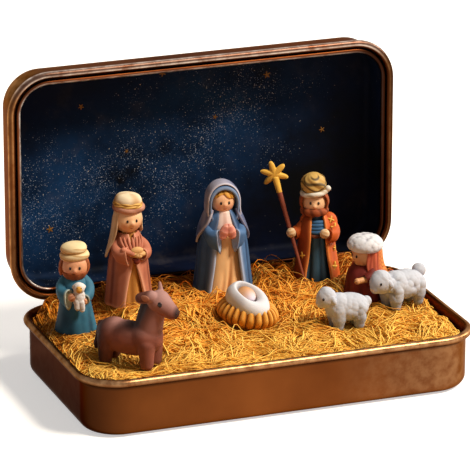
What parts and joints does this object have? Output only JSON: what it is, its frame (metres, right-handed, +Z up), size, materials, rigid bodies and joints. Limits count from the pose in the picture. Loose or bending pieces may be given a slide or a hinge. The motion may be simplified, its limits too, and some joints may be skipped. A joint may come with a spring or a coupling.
{
  "type": "nativity tin box",
  "caption": "Hinged pocket tin standing open, with a night-sky card in its lid and lift-out clay nativity figures on a bed of straw.",
  "frame": {"origin": "middle of the tray's flat underside", "axes": "+X along the tin to the viewer's right, +Y to the back where the lid is hinged, +Z up"},
  "size_m": [0.095, 0.0659, 0.0689],
  "materials": {
    "tinplate": "copper-bronze lacquer, satin",
    "hinge_steel": "plain stamped steel",
    "sky_card": "printed night sky, matt",
    "bed_card": "plain card block",
    "straw": "loose golden straw",
    "clay_skin": "baked clay, satin",
    "clay_cream": "baked clay, satin",
    "clay_white": "baked clay, matt and stippled",
    "clay_blue": "baked clay, satin",
    "clay_slate": "baked clay, satin",
    "clay_pink": "baked clay, satin",
    "clay_ochre": "baked clay, satin",
    "clay_rust": "baked clay, satin",
    "clay_maroon": "baked clay, satin",
    "clay_gold": "baked clay, satin",
    "clay_brown": "baked clay, satin",
    "clay_mauve": "baked clay, matt"
  },
  "bodies": {
    "tray": {"tray": "tinplate", "tray_hinge_leaf_left": "hinge_steel", "tray_hinge_leaf_right": "hinge_steel", "hinge_pin_left": "hinge_steel", "hinge_pin_right": "hinge_steel", "bed_board": "bed_card", "straw_bed": "straw"},
    "lid": {"lid": "tinplate", "lid_hinge_leaf_left": "hinge_steel", "lid_hinge_leaf_right": "hinge_steel", "sky_backdrop": "sky_card"},
    "shepherd": {"shepherd_robe": "clay_blue", "shepherd_head": "clay_skin", "shepherd_turban": "clay_cream", "shepherd_hair": "clay_brown", "shepherd_left_sleeve": "clay_blue", "shepherd_right_sleeve": "clay_blue", "shepherd_lamb": "clay_white"},
    "father": {"father_tunic": "clay_ochre", "father_coat": "clay_pink", "father_head": "clay_skin", "father_cap": "clay_cream", "father_headcloth": "clay_cream", "father_left_sleeve": "clay_pink", "father_right_sleeve": "clay_pink", "father_hands": "clay_cream"},
    "mother": {"mother_gown": "clay_cream", "mother_cloak": "clay_blue", "mother_head": "clay_skin", "mother_veil": "clay_blue", "mother_left_sleeve": "clay_blue", "mother_right_sleeve": "clay_blue", "mother_hands": "clay_skin"},
    "king": {"king_tunic": "clay_slate", "king_coat": "clay_rust", "king_head": "clay_skin", "king_beard": "clay_brown", "king_crown_band": "clay_white", "king_crown": "clay_gold", "king_left_sleeve": "clay_rust", "king_right_sleeve": "clay_rust", "king_left_hand": "clay_skin", "king_right_hand": "clay_skin", "king_staff": "clay_brown", "king_star": "clay_gold"},
    "herder": {"herder_robe": "clay_maroon", "herder_head": "clay_skin", "herder_cap": "clay_white", "herder_scarf": "clay_rust", "herder_sleeve": "clay_maroon", "herder_hand": "clay_skin"},
    "ewe": {"ewe_body": "clay_white", "ewe_head": "clay_white"},
    "lamb": {"lamb_body": "clay_white", "lamb_head": "clay_white"},
    "crib": {"crib_basket": "clay_ochre", "crib_swaddle": "clay_white", "infant_head": "clay_skin"},
    "donkey": {"donkey_body": "clay_mauve", "donkey_head": "clay_mauve"}
  },
  "joints": [
    {"name": "lid_hinge", "type": "hinge", "parent": "tray", "child": "lid", "pos_m": [0, 0.02745, 0.01395], "axis": [-1, 0, 0], "range_deg": [-24, 0]},
    {"name": "shepherd_lift", "type": "slide", "parent": "tray", "child": "shepherd", "axis": [0, 0, 1], "range_m": [0, 0.03]},
    {"name": "father_lift", "type": "slide", "parent": "tray", "child": "father", "axis": [0, 0, 1], "range_m": [0, 0.03]},
    {"name": "mother_lift", "type": "slide", "parent": "tray", "child": "mother", "axis": [0, 0, 1], "range_m": [0, 0.03]},
    {"name": "king_lift", "type": "slide", "parent": "tray", "child": "king", "axis": [0, 0, 1], "range_m": [0, 0.03]},
    {"name": "herder_lift", "type": "slide", "parent": "tray", "child": "herder", "axis": [0, 0, 1], "range_m": [0, 0.03]},
    {"name": "ewe_lift", "type": "slide", "parent": "tray", "child": "ewe", "axis": [0, 0, 1], "range_m": [0, 0.03]},
    {"name": "lamb_lift", "type": "slide", "parent": "tray", "child": "lamb", "axis": [0, 0, 1], "range_m": [0, 0.03]},
    {"name": "crib_lift", "type": "slide", "parent": "tray", "child": "crib", "axis": [0, 0, 1], "range_m": [0, 0.03]},
    {"name": "donkey_lift", "type": "slide", "parent": "tray", "child": "donkey", "axis": [0, 0, 1], "range_m": [0, 0.03]}
  ]
}
